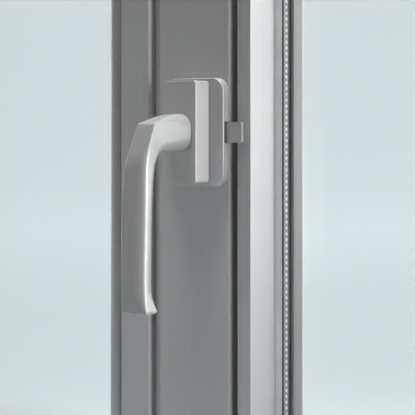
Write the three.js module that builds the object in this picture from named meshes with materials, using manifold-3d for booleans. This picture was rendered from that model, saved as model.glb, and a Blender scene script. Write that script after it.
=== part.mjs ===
// A two-light aluminium window: a side-hung sash that opens inwards, worked by a lever handle whose
// side tongue laps over the mullion, next to a fixed light. Millimetres, +Z up, +X to the right as
// seen from indoors, +Y outwards. The origin is the centre of the frame's underside.
import * as THREE from "three";
import { mergeVertices } from "three/addons/utils/BufferGeometryUtils.js";
import Module from "manifold-3d";

const wasm = await Module();
wasm.setup();

// Driving dimensions of the frame.
const frameWidth = 800;
const frameHeight = 760;
const frameFace = 26; // width of a jamb beside the sash
const stopLap = 10.7; // how far the outer leg reaches past the face
const stopDepth = 11; // thickness of the outer leg
const frameWall = 2.5;
const sashWidth = 470;
const sashGap = 5.1; // air gap round the sash
const mullionWeb = 2.2;

// Driving dimensions of the sash.
const sashDepth = 46;
const sashFace = 59.3; // flat face of a stile
const sashChamfer = 1.85;
const sashWall = 2.5;
const grooveWidth = 8.5; // groove between the stile and its bead
const grooveDepth = 5;
const sashLegReach = 39.5; // outer leg, past the groove
const sashLegDepth = 11;

// Driving dimensions of the beads and the glazing.
const sashBeadFace = 26.7;
const sashBeadWidth = 42.3;
const noseGap = 6.6; // groove between the bead's face and its nose
const noseStep = 4; // how far the rounded nose lies behind the bead's face
const fixedBeadWidth = 8.5;
const beadWall = 2;
const paneThickness = 4;
const airSpace = 8;
const glassBite = 7; // how far the fixed glass goes in under its bead
const sashGlassBite = 14;
const sealThickness = 2.4;
const gasketLip = 3.8; // how far the inner gasket's lip shows past its bead
const spacerShow = 2.9; // how far the spacer bar shows past the bead
const clearance = 0.3; // between pieces that touch
const snapClearance = 0.12; // between the mullion's web and the bead clipped on it

// Driving dimensions of the hinges.
const hingeHeight = 90;
const hingeInset = 110; // centre of a hinge from the sash's end
const knuckleRadius = 6;
const hingePinRadius = 2.6;
const hingeBoreRadius = 3.1;
const leafWidth = 19;
const leafThickness = 3;
const axisStandOff = 7; // hinge axis in front of the inside face
const leafScrewRadius = 3.4;

// Driving dimensions of the handle.
const spindleToEdge = 27.9; // spindle axis to the sash's outer edge
const plateLeft = 20.5;
const plateRight = 26.8;
const plateHeight = 70;
const plateCorner = 9;
const baseLayer = 3; // lower layer of the rosette plate
const housingLayer = 3; // upper layer of the rosette plate
const coverHalfWidth = 15.5;
const coverDraft = 2.3; // how far the cover's long sides lean in
const coverEdge = 0.8; // radius of its front edge
const coverHeight = 66;
const coverRise = 10.7;
const coverWall = 1.8;
const screwSpacing = 43;
const screwRadius = 2.4;
const screwLength = 14;
const spindleSide = 7;
const spindleReach = 30; // into the sash
const journalRadius = 8;
const bushRadius = 11;
const pinionTeeth = 14;
const pinionPitch = 7; // pitch radius
const rackBar = 4.5; // height of the rack's bar
const tongueHeight = 13.1;
const tongueReach = 11.9; // past the rosette plate
const tongueThickness = 2.8;
const leverHalfWidth = 9; // of the grip
const gripDrop = 112; // spindle axis to the lever's lower end

// Places that follow from those sizes. The depths follow from the sash's, so that the closed sash
// meets the frame's seal, and the glass fills what its bead and its outer leg leave.
const stopFrom = sashDepth + sealThickness + 2 * clearance; // depth at which the frame's leg starts
const frameDepth = stopFrom + stopDepth;
const inside = -frameDepth / 2; // y of the inside face
const glassThickness = 2 * paneThickness + airSpace;
const innerSealSpace = sealThickness + 0.4; // between a fixed bead and its glass
const outerSealSpace = sealThickness + 2 * clearance; // between the glass and the outer leg
const fixedBeadDepth = stopFrom - outerSealSpace - 0.2 - glassThickness - innerSealSpace;
const sashLegFrom = sashDepth - sashLegDepth;
const sashSealSpace = sealThickness - 0.4;
const sashBeadDepth = sashLegFrom - outerSealSpace - glassThickness - sashSealSpace;
const sashHeight = frameHeight - 2 * (frameFace + sashGap);
const sashLeft = -frameWidth / 2 + frameFace + sashGap;
const sashRight = sashLeft + sashWidth;
const midHeight = frameHeight / 2;
const mullionLeft = sashRight + sashGap;
const rebateLeft = mullionLeft + mullionWeb; // the fixed light's rebate
const rebateRight = frameWidth / 2 - frameFace;
const rebateWidth = rebateRight - rebateLeft;
const rebateHeight = frameHeight - 2 * frameFace;
const rebateCentre = (rebateLeft + rebateRight) / 2;
const sashCentre = (sashLeft + sashRight) / 2;
const sashRebate = sashFace + grooveWidth; // from the sash's edge to its bead
const hingeX = sashLeft - sashGap / 2;
const hingeY = inside - axisStandOff;
const spindleX = sashRight - spindleToEdge;
const plateTop = clearance + baseLayer + clearance + housingLayer;
const coverFront = plateTop + clearance + coverRise;

const satin = { color: 0xb9babb, metalness: 0.7, roughness: 0.36 };
const steel = { color: 0x8d9094, metalness: 0.9, roughness: 0.3 };
const darkRubber = { color: 0x1b1c1e, metalness: 0, roughness: 0.75 };
const greyRubber = { color: 0xa9abad, metalness: 0, roughness: 0.6 };
const clearGlass = { color: 0xdfe9ea, metalness: 0, roughness: 0.05, transparent: true, opacity: 0.3 };
const blackPolymer = { color: 0x232426, metalness: 0, roughness: 0.5 };

const window = new THREE.Group();
const frame = new THREE.Group();
const sash = new THREE.Group();
const handle = new THREE.Group();
window.add(frame, sash);
sash.add(handle);
handle.position.set(spindleX, inside, midHeight);

function addPiece(group, name, geometry, finish) {
  const mesh = new THREE.Mesh(geometry, new THREE.MeshStandardMaterial(finish));
  mesh.name = name;
  group.add(mesh);
  return mesh;
}

function solidFrom(geometry) {
  const bare = geometry.clone();
  for (const key of Object.keys(bare.attributes)) if (key !== "position") bare.deleteAttribute(key);
  const merged = mergeVertices(bare, 1e-4);
  return new wasm.Manifold(
    new wasm.Mesh({
      numProp: 3,
      vertProperties: merged.attributes.position.array,
      triVerts: new Uint32Array(merged.index.array),
    }),
  );
}

function geometryFrom(solid) {
  const { vertProperties, triVerts } = solid.getMesh();
  const geometry = new THREE.BufferGeometry();
  geometry.setAttribute("position", new THREE.BufferAttribute(vertProperties, 3));
  geometry.setIndex(new THREE.BufferAttribute(triVerts, 1));
  return geometry;
}

function join(...geometries) {
  return geometryFrom(geometries.map(solidFrom).reduce((whole, part) => whole.add(part)));
}

function cut(body, ...tools) {
  return geometryFrom(tools.map(solidFrom).reduce((left, tool) => left.subtract(tool), solidFrom(body)));
}

// A box between two corners.
function block([x0, y0, z0], [x1, y1, z1]) {
  const box = new THREE.BoxGeometry(x1 - x0, y1 - y0, z1 - z0);
  return box.translate((x0 + x1) / 2, (y0 + y1) / 2, (z0 + z1) / 2);
}

function outlineOf(points) {
  return points.map(([x, y]) => new THREE.Vector2(x, y));
}

// A bar with the profile (a, d): a runs in from the rectangle's edge, d runs outdoors from the inside
// face. Its ends are mitred, so it gets shorter as a grows, unless reach says how they go.
function profileBar(length, profile, holes = [], reach = (a) => a) {
  const shape = new THREE.Shape(outlineOf(profile));
  for (const hole of holes) shape.holes.push(new THREE.Path(outlineOf(hole)));
  const bar = new THREE.ExtrudeGeometry(shape, { depth: 1, bevelEnabled: false });
  const place = bar.attributes.position;
  for (let i = 0; i < place.count; i += 1) {
    const half = length / 2 - clearance / 2 - reach(place.getX(i));
    place.setZ(i, place.getZ(i) > 0.5 ? half : -half);
  }
  return bar;
}

// Four mitred bars round a rectangle seen from indoors.
function mitredFrame(group, names, width, height, centreX, makeBar, finish) {
  const [left, right, top, bottom] = names;
  const y = inside;
  const pieces = [
    [left, height, centreX - width / 2, midHeight, 0],
    [right, height, centreX + width / 2, midHeight, Math.PI],
    [top, width, centreX, midHeight + height / 2, Math.PI / 2],
    [bottom, width, centreX, midHeight - height / 2, -Math.PI / 2],
  ];
  for (const [name, length, x, z, turn] of pieces) {
    const mesh = addPiece(group, name, makeBar(length), finish);
    mesh.position.set(x, y, z);
    mesh.rotation.y = turn;
  }
}

// A flat ring of rectangular section, inset from the rectangle's edge, between two depths.
function addRing(group, name, [width, height, centreX], [from, to], [depthFrom, depthTo], finish) {
  const outer = rectangle(width - 2 * from, height - 2 * from);
  outer.holes.push(rectangle(width - 2 * to, height - 2 * to));
  const ring = new THREE.ExtrudeGeometry(outer, { depth: depthTo - depthFrom, bevelEnabled: false });
  ring.rotateX(Math.PI / 2);
  addPiece(group, name, ring, finish).position.set(centreX, inside + depthTo, midHeight);
}

function rectangle(width, height) {
  return new THREE.Shape(
    outlineOf([
      [-width / 2, -height / 2],
      [width / 2, -height / 2],
      [width / 2, height / 2],
      [-width / 2, height / 2],
    ]),
  );
}

function addPane(group, name, [width, height, centreX], inset, depth) {
  const pane = new THREE.BoxGeometry(width - 2 * inset, paneThickness, height - 2 * inset);
  addPiece(group, name, pane, clearGlass).position.set(centreX, inside + depth + paneThickness / 2, midHeight);
}

// Two panes with their spacer bar and edge sealant between them, and a gasket on each side. The edge
// is where the glass starts, the sight where its bead ends, and the lap how far the leg goes past it.
function addGlazing(group, prefix, opening, edge, sight, lap, [from, gasketFrom, gasketTo]) {
  const airFrom = from + paneThickness;
  const outerFrom = airFrom + airSpace;
  const between = [airFrom + clearance, outerFrom - clearance];
  const barWidth = 6.5;
  const barFrom = sight + spacerShow - barWidth;
  addPane(group, prefix + "_inner_pane", opening, edge, from);
  addPane(group, prefix + "_outer_pane", opening, edge, outerFrom);
  addRing(group, prefix + "_spacer", opening, [barFrom, sight + spacerShow], between, satin);
  addRing(group, prefix + "_edge_seal", opening, [edge, barFrom - clearance], between, blackPolymer);
  const inner = [gasketFrom + clearance, from - clearance];
  const outer = [outerFrom + paneThickness + clearance, gasketTo - clearance];
  addRing(group, prefix + "_inner_gasket", opening, [sight - 4, sight + gasketLip], inner, greyRubber);
  addRing(group, prefix + "_outer_gasket", opening, [sight - 5, sight + lap], outer, darkRubber);
}

// Outer frame: a hollow face section with a leg outdoors that the sash and the glass close against.
const faceBox = [
  [frameWall, frameWall],
  [frameFace - frameWall, frameWall],
  [frameFace - frameWall, frameDepth - frameWall],
  [frameWall, frameDepth - frameWall],
];
const frameProfile = [
  [0, 0],
  [frameFace - 0.6, 0],
  [frameFace, 0.6],
  [frameFace, stopFrom],
  [frameFace + stopLap, stopFrom],
  [frameFace + stopLap, frameDepth],
  [0, frameDepth],
];
mitredFrame(
  frame,
  ["frame_left_jamb", "frame_right_jamb", "frame_head", "frame_sill"],
  frameWidth,
  frameHeight,
  0,
  (length) => profileBar(length, frameProfile, [faceBox]),
  satin,
);

// The mullion is a web between the sash gap and the fixed light, on a bar that both close against.
function mullionGeometry() {
  const faceEnd = () => frameFace + clearance;
  const legEnd = () => frameFace + stopLap + clearance;
  const lip = clearance;
  const web = [
    [0.6, 0],
    [mullionWeb, 0],
    [mullionWeb, stopFrom - lip],
    [0, stopFrom - lip],
    [0, 0.6],
  ];
  const neck = [
    [0, stopFrom - 1],
    [mullionWeb, stopFrom - 1],
    [mullionWeb, stopFrom + 1],
    [0, stopFrom + 1],
  ];
  const bar = [
    [-stopLap, stopFrom],
    [mullionWeb + stopLap, stopFrom],
    [mullionWeb + stopLap, frameDepth],
    [-stopLap, frameDepth],
  ];
  return join(
    profileBar(frameHeight, web, [], faceEnd),
    profileBar(frameHeight, neck, [], legEnd),
    profileBar(frameHeight, bar, [], legEnd),
  );
}
addPiece(frame, "mullion", mullionGeometry(), satin).position.set(mullionLeft, inside, midHeight);

// Glazing beads of the fixed light: a hollow bar with a small chamfer on its sight edge.
const fixedBeadProfile = [
  [snapClearance, 0],
  [fixedBeadWidth - 0.4, 0],
  [fixedBeadWidth, 0.4],
  [fixedBeadWidth, fixedBeadDepth],
  [snapClearance, fixedBeadDepth],
];
const fixedBeadHollow = [
  [beadWall, beadWall],
  [fixedBeadWidth - beadWall, beadWall],
  [fixedBeadWidth - beadWall, fixedBeadDepth - beadWall],
  [beadWall, fixedBeadDepth - beadWall],
];
mitredFrame(
  frame,
  ["fixed_left_bead", "fixed_right_bead", "fixed_top_bead", "fixed_bottom_bead"],
  rebateWidth,
  rebateHeight,
  rebateCentre,
  (length) => profileBar(length, fixedBeadProfile, [fixedBeadHollow]),
  satin,
);
const fixedOpening = [rebateWidth, rebateHeight, rebateCentre];
const fixedGlassFrom = fixedBeadDepth + innerSealSpace;
addGlazing(
  frame,
  "fixed",
  fixedOpening,
  fixedBeadWidth - glassBite,
  fixedBeadWidth,
  stopLap - fixedBeadWidth,
  [fixedGlassFrom, fixedBeadDepth, stopFrom],
);

// The seal that the closed sash presses on.
const sashOpening = [sashWidth, sashHeight, sashCentre];
const sealInset = (stopLap - sashGap) / 2;
addRing(
  frame,
  "frame_seal",
  sashOpening,
  [sealInset - 2, sealInset + 2],
  [sashDepth + clearance, stopFrom - clearance],
  darkRubber,
);

// Sash stiles and rails: a hollow box, the groove beside the bead, and an outer leg behind the glass.
const sashProfile = [
  [sashChamfer, 0],
  [sashFace - 0.6, 0],
  [sashFace, 0.6],
  [sashFace, grooveDepth],
  [sashRebate, grooveDepth],
  [sashRebate, sashLegFrom],
  [sashRebate + sashLegReach, sashLegFrom],
  [sashRebate + sashLegReach, sashDepth],
  [0, sashDepth],
  [0, sashChamfer],
];
const sashHollow = [
  [sashWall, sashWall],
  [sashFace - sashWall, sashWall],
  [sashFace - sashWall, sashDepth - sashWall],
  [sashWall, sashDepth - sashWall],
];
const sashLegHollow = [
  [sashRebate + sashWall, sashLegFrom + sashWall],
  [sashRebate + sashLegReach - sashWall, sashLegFrom + sashWall],
  [sashRebate + sashLegReach - sashWall, sashDepth - sashWall],
  [sashRebate + sashWall, sashDepth - sashWall],
];
mitredFrame(
  sash,
  ["sash_left_stile", "sash_right_stile", "sash_top_rail", "sash_bottom_rail"],
  sashWidth,
  sashHeight,
  sashCentre,
  (length) => profileBar(length, sashProfile, [sashHollow, sashLegHollow]),
  satin,
);

// The lock stile is drilled for the spindle and the two mounting screws. The stile is turned half
// round, so a hole at the spindle lies spindleToEdge in from its edge.
function stileHole(radius, height) {
  const drill = new THREE.CylinderGeometry(radius, radius, 4 * sashWall, 16);
  return drill.translate(spindleToEdge, 0, height);
}
const lockStile = sash.getObjectByName("sash_right_stile");
lockStile.geometry = cut(
  lockStile.geometry,
  stileHole(spindleSide * 0.8, 0),
  stileHole(screwRadius + 0.5, screwSpacing / 2),
  stileHole(screwRadius + 0.5, -screwSpacing / 2),
);

// Wide sash beads: a flat face, a narrow groove and a rounded nose.
const noseFrom = sashBeadFace + noseGap;
const noseRadius = (sashBeadWidth - noseFrom) / 2;
const noseArc = new THREE.Path();
noseArc.absellipse(noseFrom + noseRadius, noseStep + 3.2, noseRadius, 3.2, Math.PI, 2 * Math.PI, false);
const sashBeadProfile = [
  [clearance, 1.6],
  [clearance + 1.6, 0],
  [sashBeadFace - 0.5, 0],
  [sashBeadFace, 0.5],
  [sashBeadFace, noseStep + 3],
  [noseFrom - 1, noseStep + 3],
  ...noseArc.getPoints(8).map(({ x, y }) => [x, y]),
  [sashBeadWidth, sashBeadDepth],
  [clearance, sashBeadDepth],
];
const sashBeadHollow = [
  [clearance + beadWall, beadWall],
  [sashBeadFace - beadWall, beadWall],
  [sashBeadFace - beadWall, noseStep + 3 + beadWall],
  [sashBeadWidth - beadWall, noseStep + 3 + beadWall],
  [sashBeadWidth - beadWall, sashBeadDepth - beadWall],
  [clearance + beadWall, sashBeadDepth - beadWall],
];
const beadWidthAcross = sashWidth - 2 * sashRebate;
const beadHeightAcross = sashHeight - 2 * sashRebate;
mitredFrame(
  sash,
  ["sash_left_bead", "sash_right_bead", "sash_top_bead", "sash_bottom_bead"],
  beadWidthAcross,
  beadHeightAcross,
  sashCentre,
  (length) => profileBar(length, sashBeadProfile, [sashBeadHollow]),
  satin,
);
const sashGlassFrom = sashBeadDepth + sashSealSpace;
addGlazing(
  sash,
  "sash",
  [beadWidthAcross, beadHeightAcross, sashCentre],
  sashBeadWidth - sashGlassBite,
  sashBeadWidth,
  sashLegReach - sashBeadWidth,
  [sashGlassFrom, sashBeadDepth, sashLegFrom],
);

// Butt hinges: the frame leaf has the middle knuckle, the sash leaf the two outer ones.
const knuckleHeight = hingeHeight / 3;

function knuckle(height, centre) {
  const barrel = new THREE.CylinderGeometry(knuckleRadius, knuckleRadius, height, 20);
  return barrel.rotateX(Math.PI / 2).translate(0, 0, centre);
}

function knuckleWithBridge(side, height, centre) {
  const far = side * (knuckleRadius + clearance + 1);
  const from = [Math.min(0, far), axisStandOff - clearance - leafThickness, centre - height / 2];
  const to = [Math.max(0, far), axisStandOff - clearance, centre + height / 2];
  return join(knuckle(height, centre), block(from, to));
}

function hingeLeaf(side, knuckles) {
  const near = side * (knuckleRadius + clearance);
  const far = side * (knuckleRadius + clearance + leafWidth);
  const front = axisStandOff - clearance - leafThickness;
  const low = [Math.min(near, far), front, -hingeHeight / 2];
  const high = [Math.max(near, far), axisStandOff - clearance, hingeHeight / 2];
  const bore = new THREE.CylinderGeometry(hingeBoreRadius, hingeBoreRadius, 2 * hingeHeight, 20);
  bore.rotateX(Math.PI / 2);
  const middle = (near + far) / 2;
  const drills = [-1, 1].map((end) => leafScrewHole(middle, end * hingeHeight * 0.32));
  return cut(join(block(low, high), ...knuckles), bore, ...drills);
}

// A screw hole through a leaf: a countersink over a plain hole.
function leafScrewHole(x, z) {
  const front = axisStandOff - clearance - leafThickness;
  return countersunk(leafScrewRadius + clearance, leafScrewRadius / 2 + clearance, 2 * leafThickness)
    .translate(x, front, z);
}

// A countersunk screw form along +Y: its head's face lies at y = 0 and its tip at y = length.
function countersunk(headRadius, shankRadius, length) {
  const headDepth = headRadius - shankRadius;
  const profile = [
    [0, 0],
    [headRadius, 0],
    [shankRadius, headDepth],
    [shankRadius, length],
    [0, length],
  ];
  return new THREE.LatheGeometry(outlineOf(profile), 14);
}

function addHinge(name, height) {
  const gap = 0.4;
  const place = new THREE.Vector3(hingeX, hingeY, height);
  const outerHeight = knuckleHeight - gap;
  const frameKnuckle = knuckleWithBridge(-1, knuckleHeight - gap, 0);
  const sashKnuckles = [-1, 1].map((end) => knuckleWithBridge(1, outerHeight, end * (knuckleHeight + gap / 2)));
  const frameLeaf = addPiece(frame, name + "_frame_leaf", hingeLeaf(-1, [frameKnuckle]), satin);
  const sashLeaf = addPiece(sash, name + "_sash_leaf", hingeLeaf(1, sashKnuckles), satin);
  const pin = new THREE.CylinderGeometry(hingePinRadius, hingePinRadius, hingeHeight + 3, 20);
  const pinMesh = addPiece(frame, name + "_pin", pin.rotateX(Math.PI / 2), steel);
  for (const mesh of [frameLeaf, sashLeaf, pinMesh]) mesh.position.copy(place);
  const across = knuckleRadius + clearance + leafWidth / 2;
  for (const [group, side, word] of [[frame, -1, "frame"], [sash, 1, "sash"]]) {
    for (const [end, level] of [[-1, "low"], [1, "high"]]) {
      const screw = countersunk(leafScrewRadius, leafScrewRadius / 2, leafThickness - 0.1);
      const mesh = addPiece(group, name + "_" + word + "_screw_" + level, screw, steel);
      mesh.position.set(hingeX + side * across, inside - clearance - leafThickness, height + end * hingeHeight * 0.32);
    }
  }
}
addHinge("lower_hinge", midHeight - sashHeight / 2 + hingeInset);
addHinge("upper_hinge", midHeight + sashHeight / 2 - hingeInset);

// The handle's own frame: x and z as the window's, and heights h are measured indoors, towards -Y.
function roundedOutline(left, right, half, corner) {
  const shape = new THREE.Shape();
  shape.moveTo(left + corner, -half);
  shape.absarc(right - corner, -half + corner, corner, -Math.PI / 2, 0, false);
  shape.absarc(right - corner, half - corner, corner, 0, Math.PI / 2, false);
  shape.absarc(left + corner, half - corner, corner, Math.PI / 2, Math.PI, false);
  shape.absarc(left + corner, -half + corner, corner, Math.PI, 1.5 * Math.PI, false);
  return shape;
}

// A flat plate between two heights in front of the sash.
function plate(shape, from, to) {
  const body = new THREE.ExtrudeGeometry(shape, { depth: to - from, bevelEnabled: false, curveSegments: 6 });
  return body.rotateX(Math.PI / 2).translate(0, -from, 0);
}

function disc(radius, from, to, sides = 24) {
  const round = new THREE.CylinderGeometry(radius, radius, to - from, sides);
  return round.translate(0, -(from + to) / 2, 0);
}

// A box in front of the sash, from its low and high corners in x, h and z.
function slab([x0, h0, z0], [x1, h1, z1]) {
  return block([x0, -h1, z0], [x1, -h0, z1]);
}

function squareBar(side, from, to) {
  return slab([-side / 2, from, -side / 2], [side / 2, to, side / 2]);
}

// Heights of the mechanism's layers.
const baseTop = clearance + baseLayer;
const housingFrom = baseTop + clearance;
const tongueFrom = clearance + 0.2;
const tongueTo = tongueFrom + tongueThickness;
const detentFrom = plateTop + clearance;
const detentTo = detentFrom + 2.5;
const journalFrom = detentTo + clearance;
const squareFit = spindleSide + 2 * 0.15;

// The rack: its bar lies below the pinion, and it slides by the pinion's arc over a quarter turn.
const rackModule = (2 * pinionPitch) / pinionTeeth;
const rackRoot = -pinionPitch - 1.25 * rackModule;
const rackFoot = rackRoot - rackBar;
const tongueTravel = (pinionPitch * Math.PI) / 2;
const webLeft = pinionPitch + rackModule + tongueTravel + 0.8;
const webRight = plateRight - 3;
const plateOutline = roundedOutline(-plateLeft, plateRight, plateHeight / 2, plateCorner);
const slot = slab(
  [webRight - 1, -1, -tongueHeight / 2 - clearance],
  [plateRight + 1, tongueTo + 1.9, tongueHeight / 2 + clearance],
);
const rackLeft = -5;
const channelLeft = rackLeft - tongueTravel - 0.8;

function mountingScrewHoles(radius) {
  return [-1, 1].map((end) => disc(radius, -1, plateTop + 1, 16).translate(0, 0, (end * screwSpacing) / 2));
}

// Lower layer of the rosette plate, open where the pinion turns and the tongue slides.
const webHigh = tongueHeight / 2 + clearance;
const rosetteBase = cut(
  plate(plateOutline, clearance, baseTop),
  disc(pinionPitch + rackModule + 0.5, -1, baseTop + 1),
  slab([channelLeft, -1, rackFoot - clearance], [webRight + clearance, baseTop + 1, -pinionPitch + 1.2]),
  slab([0, -1, rackFoot - clearance], [webRight + clearance, baseTop + 1, webHigh]),
  slot,
  ...mountingScrewHoles(screwRadius + 0.5),
);
addPiece(handle, "rosette_base", rosetteBase, satin);

// Upper layer of the rosette plate, which closes the tongue's channel.
const screwSeat = plateTop - 0.3;
const seats = [-1, 1].map((end) =>
  countersunk(screwRadius * 1.9 + 0.4, screwRadius + 0.5, 12)
    .translate(0, -screwSeat - 0.4, (end * screwSpacing) / 2),
);
const rosetteHousing = cut(
  plate(plateOutline, housingFrom, plateTop),
  disc(spindleSide * 0.8, 0, plateTop + 1),
  slot,
  ...seats,
);
addPiece(handle, "rosette_housing", rosetteHousing, satin);

for (const [end, word] of [[-1, "lower"], [1, "upper"]]) {
  const screw = countersunk(screwRadius * 1.9, screwRadius, screwLength);
  addPiece(handle, word + "_mounting_screw", screw, steel).position.set(0, -screwSeat, (end * screwSpacing) / 2);
}

// The raised cover is a shell over the mechanism, with a round hole for the lever's journal.
const coverInnerHalf = coverHalfWidth - coverDraft - coverWall;
const coverInner = roundedOutline(
  -coverInnerHalf,
  coverInnerHalf,
  coverHeight / 2 - coverWall,
  1,
);
const coverFrom = plateTop + clearance;
const coverInnerSpace = plate(coverInner, coverFrom - 1, coverFront - coverWall);
const journalHole = disc(journalRadius + clearance, coverFrom, coverFront + 1);
const rosetteCover = cut(coverBody(), coverInnerSpace, journalHole);
addPiece(handle, "rosette_cover", rosetteCover, satin);

// The cover's outside: its long sides lean in, and its front edge is rounded over.
function coverBody() {
  const steps = 3;
  const rings = [coverRing(0, 0, coverFrom)];
  for (let i = 0; i <= steps; i += 1) {
    const angle = (Math.PI / 2) * (i / steps);
    const inset = coverEdge * (1 - Math.cos(angle));
    rings.push(coverRing(coverDraft - coverEdge + inset, inset, coverFront - coverEdge * (1 - Math.sin(angle))));
  }
  return loft(rings, rings[0].length);
}

function coverRing(insetX, insetZ, h) {
  const [halfX, halfZ] = [coverHalfWidth - insetX, coverHeight / 2 - insetZ];
  const corner = 2 - insetZ / 2;
  const ring = [];
  for (let quarter = 0; quarter < 4; quarter += 1) {
    const [sideX, sideZ] = [[1, 1], [-1, 1], [-1, -1], [1, -1]][quarter];
    for (let i = 0; i <= 3; i += 1) {
      const angle = (Math.PI / 2) * (quarter + i / 3);
      const x = sideX * (halfX - corner) + corner * Math.cos(angle);
      const z = sideZ * (halfZ - corner) + corner * Math.sin(angle);
      ring.push([x, -h, z]);
    }
  }
  return ring;
}

// The bush that the journal turns in, under the cover's face.
const bushTo = coverFront - coverWall - clearance;
const bush = cut(disc(bushRadius, journalFrom + 1, bushTo), disc(journalRadius + 0.2, 0, coverFront + 9));
addPiece(handle, "neck_bush", bush, blackPolymer);

// Spring detent: a ball over the disc's rim, which the spring presses into a notch at closed and open.
// The ball is drawn just clear of the rim.
const detentRadius = 9.5;
const ballRadius = 1.25;
const notch = (x, z) => disc(ballRadius + clearance, 0, coverFront, 12).translate(x, 0, z);
const detentDisc = cut(
  disc(detentRadius, detentFrom, detentTo, 32),
  squareBar(squareFit, 0, coverFront),
  notch(0, detentRadius),
  notch(-detentRadius, 0),
);
addPiece(handle, "detent_disc", detentDisc, steel);
const detentMiddle = (detentFrom + detentTo) / 2;
const ball = new THREE.SphereGeometry(ballRadius, 14, 10);
const ballPlace = detentRadius + clearance / 2 + ballRadius;
addPiece(handle, "detent_ball", ball, steel).position.set(0, -detentMiddle, ballPlace);
const springLow = ballPlace + ballRadius + clearance;
const spring = slab([-9, detentFrom + 0.2, springLow], [9, detentTo - 0.2, springLow + 0.8]);
addPiece(handle, "detent_spring", spring, steel);

// Square spindle, and the pinion that it turns.
const spindleTop = coverFront + 3;
addPiece(handle, "spindle", squareBar(spindleSide, -spindleReach, spindleTop), steel);

function pinionOutline() {
  const tip = pinionPitch + rackModule * 0.9;
  const root = pinionPitch - rackModule * 1.1;
  const shape = new THREE.Shape();
  const step = (2 * Math.PI) / pinionTeeth;
  for (let tooth = 0; tooth < pinionTeeth; tooth += 1) {
    const corners = [[-0.3, root], [-0.12, tip], [0.12, tip], [0.3, root]];
    for (const [share, radius] of corners) {
      const angle = -Math.PI / 2 + (tooth + 0.5 + share) * step;
      const point = [radius * Math.cos(angle), radius * Math.sin(angle)];
      if (tooth === 0 && share === -0.3) shape.moveTo(...point);
      else shape.lineTo(...point);
    }
  }
  return shape;
}
const pinion = cut(plate(pinionOutline(), tongueFrom, tongueTo), squareBar(squareFit, -1, plateTop));
addPiece(handle, "drive_pinion", pinion, steel);

// The side tongue: a flat nose on a web, and the rack's bar with its teeth.
function tongueGeometry() {
  const noseRight = plateRight + tongueReach;
  const nose = roundedOutline(webLeft, noseRight, tongueHeight / 2, 1.3);
  const bar = slab([rackLeft, tongueFrom, rackFoot], [webRight, tongueTo, rackRoot]);
  const web = slab([webLeft, tongueFrom, rackFoot], [webRight, tongueTo, 0]);
  const pieces = [plate(nose, tongueFrom, tongueTo), bar, web];
  const pitchLength = (2 * Math.PI * pinionPitch) / pinionTeeth;
  const toothCount = Math.ceil(tongueTravel / pitchLength) + 2;
  for (let tooth = -1; tooth < toothCount; tooth += 1) pieces.push(rackTooth(tooth * pitchLength, pitchLength));
  return join(...pieces);
}

function rackTooth(centre, pitchLength) {
  const tip = rackRoot + 2.1 * rackModule;
  const wide = pitchLength * 0.3;
  const narrow = pitchLength * 0.14;
  const tooth = new THREE.Shape(
    outlineOf([
      [centre - wide, rackRoot - 0.5],
      [centre + wide, rackRoot - 0.5],
      [centre + narrow, tip],
      [centre - narrow, tip],
    ]),
  );
  return plate(tooth, tongueFrom, tongueTo);
}
addPiece(handle, "tongue", tongueGeometry(), steel);

// The lever: an oval neck that leaves the cover and bends down into a flat-faced grip. Each station is
// a front point and a back point (height h, then z), the half width and how square the section is.
function leverGeometry() {
  const neckHalf = 12;
  const neckHalfWidth = 10;
  const neckFrom = coverFront + clearance;
  const end = -gripDrop;
  const grip = leverHalfWidth;
  const elbow = leverHalfWidth * 0.81;
  const stations = [
    [[neckFrom, neckHalf], [neckFrom, -neckHalf], neckHalfWidth, 2],
    [[neckFrom + 6, 11.5], [neckFrom + 6, -neckHalf], neckHalfWidth - 0.8, 2.2],
    [[neckFrom + 14, 10.9], [neckFrom + 13, -neckHalf], neckHalfWidth - 1.7, 2.5],
    [[neckFrom + 22, 9], [neckFrom + 19.2, -neckHalf], elbow + 0.3, 3],
    [[neckFrom + 30, 6.4], [neckFrom + 23.4, -12.5], elbow, 3.6],
    [[neckFrom + 32.6, 5.2], [neckFrom + 25.2, -13.6], elbow, 4],
    [[neckFrom + 34.4, 1.2], [neckFrom + 27.2, -15.6], elbow + 0.2, 4],
    [[neckFrom + 37.4, -5.4], [neckFrom + 29, -18.4], elbow + 0.5, 3.8],
    [[neckFrom + 41, -13.2], [neckFrom + 30.6, -22.2], grip - 0.7, 3.6],
    [[neckFrom + 42.9, -19.6], [neckFrom + 31.8, -26], grip - 0.3, 3.4],
    [[neckFrom + 44.5, -29], [neckFrom + 33.1, -31], grip, 3.2],
    [[neckFrom + 45.9, -50], [neckFrom + 34.6, -50], grip, 3.2],
    [[neckFrom + 46.7, end + 33], [neckFrom + 35.3, end + 33], grip, 3.2],
    [[neckFrom + 46.3, end + 14], [neckFrom + 35.4, end + 14.4], grip, 3.4],
    [[neckFrom + 45.7, end + 9], [neckFrom + 34.4, end + 9.2], grip + 0.4, 3.8],
    [[neckFrom + 44.9, end + 4.6], [neckFrom + 33, end + 4.8], grip + 1, 4],
    [[neckFrom + 44.1, end + 1.2], [neckFrom + 32.4, end + 1.3], grip + 1.2, 4],
    [[neckFrom + 43, end], [neckFrom + 33.4, end], grip + 0.3, 4],
  ];
  const sides = 20;
  const rings = stations.map(([front, back, half, squareness]) =>
    leverRing(front, back, half, squareness, sides),
  );
  return loft(rings, sides);
}

function leverRing([frontH, frontZ], [backH, backZ], half, squareness, sides) {
  const ring = [];
  for (let i = 0; i < sides; i += 1) {
    const angle = (2 * Math.PI * i) / sides;
    const across = half * superPower(Math.cos(angle), squareness);
    const share = superPower(Math.sin(angle), squareness);
    const h = (frontH + backH) / 2 + ((frontH - backH) / 2) * share;
    const z = (frontZ + backZ) / 2 + ((frontZ - backZ) / 2) * share;
    ring.push([across, -h, z]);
  }
  return ring;
}

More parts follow.
